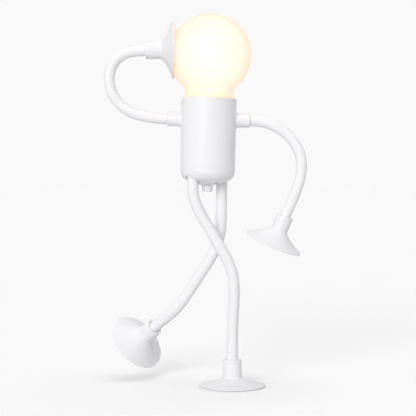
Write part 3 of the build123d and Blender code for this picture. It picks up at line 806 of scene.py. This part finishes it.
def carried_frames(path):
    """A side, a depth and a tangent at each point of the path, carried along it without twist."""
    tangents = []
    for i in range(len(path)):
        tangents.append((path[min(i + 1, len(path) - 1)] - path[max(i - 1, 0)]).normalized())
    side = square_to(tangents[0])
    frames = []
    for tangent in tangents:
        side = (side - tangent * side.dot(tangent)).normalized()
        frames.append((side, tangent.cross(side), tangent))
    return frames


def hose(limb, corners, radii, radius, straight, joints, grooves=()):
    """Each joint is (place, parent, child, before, after, replaced): the piece around its place stands in
    for the skins and cores of the replaced stretches. The parent, child, before and after are not used."""
    path = smooth_path(corners, radii, straight)
    frames = carried_frames(path)
    nearest = []
    for place, *rest in joints:
        nearest.append(min(range(len(path)), key=lambda i: (path[i] - place).length))
    ends = [0]
    for a, b in zip(nearest, nearest[1:]):
        ends.append((a + b) // 2)
    ends.append(len(path) - 1)
    turns = [2 * math.pi * n / hose_segments for n in range(hose_segments)]
    for k, (place, parent, child, before, after, replaced) in enumerate(joints):
        bm = bmesh.new()
        along = bm.verts.layers.float.new("along")
        rings = []
        for i in range(ends[k], ends[k + 1] + 1):
            side, deep, tangent = frames[i]
            distance = i * hose_step
            dip = 0
            for groove in grooves:
                dip = max(dip, groove_depth * max(0, 1 - abs(distance - groove) / groove_width))
            ring = []
            for turn in turns:
                way = side * math.cos(turn) + deep * math.sin(turn)
                vertex = bm.verts.new(path[i] + way * (radius - dip))
                vertex[along] = distance
                ring.append(vertex)
            rings.append(ring)
        for below, above in zip(rings, rings[1:]):
            bridge(bm, below, above)
        piece = finish_mesh(bm, f"{limb}_hose_{k + 1}")
        nodes = [f"{limb}_{stretch}_{layer}" for stretch in replaced for layer in ("skin", "core")]
        dress(piece, "white_silicone", None, *nodes)
        way = frames[nearest[k]][2]
        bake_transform(piece)


def at(*values):
    return Vector(values) * MM


def lengths(*values):
    return [value * MM for value in values]


hose(
    "raised_arm",
    [
        at(-50.68, -4.03, 261.97),
        at(-68.28, -4.03, 262.34),
        at(-100.76, -4.03, 267.64),
        at(-119.78, -4.03, 288.34),
        at(-119.64, -4.03, 314.16),
        at(-105.08, -4.03, 328.1),
        at(-71.89, -4.03, 328.97),
    ],
    lengths(60, 24.5, 19.8, 22.8, 25),
    arm_radius,
    arm_straight,
    [
        (at(-78.02, -4.03, 263.93), "torso", "raised_arm_upper", *lengths(12, 12), ("root", "upper")),
        (at(-110.27, -4.03, 277.99), "raised_arm_upper", "raised_arm_fore", *lengths(14, 14), ("fore",)),
    ],
    lengths(14.7, 16.4, 18),
)
hose(
    "lowered_arm",
    [
        at(4.5, -4.03, 260.81),
        at(20.7, -4.03, 260.47),
        at(42.95, -4.01, 256.48),
        at(67.5, -4.05, 231.92),
        at(67.17, -4.0, 203.3),
        at(47.2, 3.25, 156.17),
    ],
    lengths(29.4, 26.8, 26.3, 65.7),
    arm_radius,
    arm_straight,
    [
        (at(28.49, -4.02, 259.07), "torso", "lowered_arm_upper", *lengths(9, 12), ("root", "upper")),
        (at(55.22, -4.03, 244.2), "lowered_arm_upper", "lowered_arm_fore", *lengths(14, 14), ("fore",)),
        (at(55.77, 0.14, 176.41), "lowered_arm_fore", "lowered_arm_hand", *lengths(12, 6), ("hand",)),
    ],
)
hose(
    "standing_leg",
    [
        at(-38.25, -16.3, 211.4),
        at(-38.82, -16.3, 184.5),
        at(2.26, -9.08, 112.31),
        at(0, 0, 44),
        at(0, 0, 13.9),
    ],
    lengths(19.7, 60, 30.8),
    leg_radius,
    leg_straight,
    [
        (at(-38.56, -16.3, 196.5), "torso", "standing_leg_thigh", *lengths(3, 16), ("root", "thigh")),
        (at(-18.28, -12.69, 148.4), "standing_leg_thigh", "standing_leg_shin", *lengths(18, 18), ("shin",)),
        (at(0, 0, 36.1), "standing_leg_shin", "standing_leg_foot", *lengths(14, 6), ("foot",)),
    ],
)
hose(
    "lifted_leg",
    [
        at(-10.03, 8.24, 210.81),
        at(-11.49, 8.24, 141.02),
        at(-53.23, 20.52, 75.42),
        at(-85.69, 46.65, 47.43),
    ],
    lengths(60, 50),
    leg_radius,
    leg_straight,
    [
        (at(-10.34, 8.24, 195.91), "torso", "lifted_leg_thigh", *lengths(3, 16), ("root", "thigh")),
        (at(-32.36, 14.38, 108.22), "lifted_leg_thigh", "lifted_leg_shin", *lengths(18, 18), ("shin",)),
        (at(-71.34, 35.09, 59.81), "lifted_leg_shin", "lifted_leg_foot", *lengths(14, 6), ("foot",)),
    ],
)


# Cups: a sleeve, a flare that thins to a narrow band at the lip, and a shallow hollow with its throat


def arc_between(start, end, bulge):
    """Points on a shallow curve that bulges to the left of the way, and most near its start."""
    chord = end - start
    left = Vector((-chord.y, chord.x, 0)).normalized()
    points = []
    for k in range(flare_steps + 1):
        share = k / flare_steps
        skew = 4 * share * (1 - share) * (1 + flare_lean_share - 2 * flare_lean_share * share)
        points.append(start + chord * share + left * (bulge * chord.length * skew))
    return points


def cup(
    name,
    body,
    mouth,
    opening,
    rim,
    sleeve,
    height,
    hose_radius,
    bend=None,
    root_bend=free_root_bend,
    squash=0,
    undercut=0,
):
    """A cup, from its sleeve's mouth along its opening. squash moves the root of the flare towards the
    rim, as when the cup is pressed flat, and undercut hollows the rim's edge."""
    bore = hose_radius + hose_fit
    throat = cup_throat + squash
    outer_start = Vector((sleeve + sleeve_taper, sleeve_length + squash, 0))
    outer_end = Vector((rim, height - undercut - lip_thickness, 0))
    edge = Vector((rim, height - undercut, 0))
    tip = Vector((rim - 2 * undercut, height, 0))
    inner_start = Vector((rim - lip_width - 2 * undercut, height, 0))
    inner_end = Vector((cup_throat_radius + throat_flare, throat, 0))
    sleeve_outline = rounded(
        flat(
            (bore, cup_bore_depth),
            (bore, 0),
            (sleeve, 0),
            (sleeve + sleeve_taper / 2, sleeve_length - sleeve_straight_gap),
        ),
        (cup_bore_edge, sleeve_edge),
        cup_turn_steps,
    )
    flare = arc_between(outer_start, outer_end, flare_share)
    root = rounded([sleeve_outline[-1], outer_start, flare[flare_root_step]], [root_bend], flare_root_steps)
    if undercut:
        lip = rounded([flare[-2], outer_end, edge, tip, inner_start], [lip_corner] * 3, undercut_steps)
    else:
        lip = rounded([flare[-2], outer_end, edge, inner_start], [lip_corner, lip_edge], lip_steps)
    hollow_bulge = flare_share * hollow_share + hollow_lift / (outer_end - outer_start).length
    hollow = arc_between(inner_end, inner_start, hollow_bulge)[::-1]
    middle = rounded(
        [hollow[-2], *flat((cup_throat_radius, throat), (0, throat))], [throat_round], cup_turn_steps
    )
    outside = sleeve_outline[:-1] + root + flare[flare_root_step + 1 : -1]
    profile = outside + lip[1:-1] + hollow[:-2] + middle
    piece = lathe(name, profile, mouth, opening, cup_segments, bend, cup_angle)
    dress(piece, "white_cup_silicone", body, f"{name}_cup")


def saddle(radius, angle):
    """The soft rim gives way to the globe: its near and far edges come forward, and its top tips over."""
    share = max(0, (radius - hand_sleeve) / (hand_rim - hand_sleeve))
    return share**2 * (hand_bulge * math.sin(angle) ** 2 + hand_tip * (1 + math.cos(angle)) / 2)


cup(
    "raised_hand",
    "raised_arm_fore",
    at(-84.59, -4.03, 328.63),
    Vector((0.99966, 0, 0.02618)),
    hand_rim,
    hand_sleeve,
    pressed_height,
    arm_radius,
    bend=saddle,
)
cup(
    "lowered_hand",
    "lowered_arm_hand",
    at(52.1, 1.47, 167.75),
    Vector((-0.38629, 0.1401, -0.91168)),
    hand_rim,
    hand_sleeve,
    free_height,
    arm_radius,
)
cup(
    "standing_foot",
    "standing_leg_foot",
    at(0, 0, 26.6),
    Vector((0, 0, -1)),
    pressed_rim,
    foot_sleeve,
    pressed_height,
    leg_radius,
    root_bend=pressed_root_bend,
    squash=pressed_squash,
    undercut=pressed_undercut,
)
cup(
    "lifted_foot",
    "lifted_leg_foot",
    at(-78.32, 40.72, 53.79),
    Vector((-0.6221, 0.5205, -0.5849)),
    foot_rim,
    foot_sleeve,
    free_height,
    leg_radius,
)

# Camera: lens and sensor in millimetres, clipping in metres
camera_lens = 103.8
camera_sensor = 36
camera_near = 0.01
camera_far = 200
camera_dip_angle = 1.05
camera_data = bpy.data.cameras.new("camera")
camera_data.lens = camera_lens
camera_data.sensor_width = camera_sensor
camera_data.clip_start = camera_near
camera_data.clip_end = camera_far
camera = bpy.data.objects.new("camera", camera_data)
camera.location = at(-23.8, -1175, 196.8)
camera.rotation_euler = (math.radians(90 - camera_dip_angle), 0, 0)
bpy.context.scene.collection.objects.link(camera)
bpy.context.scene.camera = camera

# Floor, in metres: pale and wide. The camera sees it paler and a little lit, to meet the backdrop's level
floor_side = 40
floor_front = 40
floor_back = 60
floor_tone = (0.72, 0.72, 0.72)
floor_seen_tone = (0.95, 0.95, 0.95)
floor_lift_level = 0.085
floor_bm = bmesh.new()
floor_corners = (
    (-floor_side, -floor_front),
    (floor_side, -floor_front),
    (floor_side, floor_back),
    (-floor_side, floor_back),
)
floor_bm.faces.new([floor_bm.verts.new((x, y, 0)) for x, y in floor_corners])
floor = finish_mesh(floor_bm, "floor")
floor_material, nodes, links = new_material("floor")
nodes.remove(nodes["Principled BSDF"])
seen = nodes.new("ShaderNodeLightPath")
tone = add_mix(nodes, floor_tone, floor_seen_tone)
diffuse = nodes.new("ShaderNodeBsdfDiffuse")
lift_level = add_math(nodes, "MULTIPLY", floor_lift_level)
lift = nodes.new("ShaderNodeEmission")
both = nodes.new("ShaderNodeAddShader")
links.new(seen.outputs["Is Camera Ray"], tone.inputs[mix_share])
links.new(tone.outputs[mix_result], diffuse.inputs["Color"])
links.new(seen.outputs["Is Camera Ray"], lift_level.inputs[0])
links.new(lift_level.outputs[0], lift.inputs["Strength"])
links.new(diffuse.outputs[0], both.inputs[0])
links.new(lift.outputs[0], both.inputs[1])
links.new(both.outputs[0], nodes["Material Output"].inputs["Surface"])
floor.data.materials.append(floor_material)

# World: even light on the object, a pale backdrop for the camera, in reflections and through glass
world_light_level = 0.5
backdrop_level = 0.945
world = bpy.data.worlds.new("world")
bpy.context.scene.world = world
world.use_nodes = True
nodes, links = world.node_tree.nodes, world.node_tree.links
background = nodes["Background"]
background.inputs["Color"].default_value = (1, 1, 1, 1)
seen = nodes.new("ShaderNodeLightPath")
camera_or_glossy = add_math(nodes, "MAXIMUM")
any_view = add_math(nodes, "MAXIMUM")
level = nodes.new("ShaderNodeMapRange")
level.inputs["To Min"].default_value = world_light_level
level.inputs["To Max"].default_value = backdrop_level
links.new(seen.outputs["Is Camera Ray"], camera_or_glossy.inputs[0])
links.new(seen.outputs["Is Glossy Ray"], camera_or_glossy.inputs[1])
links.new(camera_or_glossy.outputs[0], any_view.inputs[0])
links.new(seen.outputs["Is Transmission Ray"], any_view.inputs[1])
links.new(any_view.outputs[0], level.inputs["Value"])
links.new(level.outputs["Result"], background.inputs["Strength"])

# Lights: a wide soft key from the front, a little to the left, and a softer one from above
suns = (
    dict(name="key", energy=1.56, width_angle=30, towards=(-0.33, -0.88, 0.34)),
    dict(name="top", energy=0.75, width_angle=50, towards=(0.12, 0.1, 1)),
)
for sun in suns:
    light_data = bpy.data.lights.new(sun["name"], "SUN")
    light_data.energy = sun["energy"]
    light_data.angle = math.radians(sun["width_angle"])
    light = bpy.data.objects.new(sun["name"], light_data)
    light.rotation_euler = Vector(sun["towards"]).to_track_quat("Z", "Y").to_euler()
    bpy.context.scene.collection.objects.link(light)

bpy.context.scene.view_settings.view_transform = "Standard"
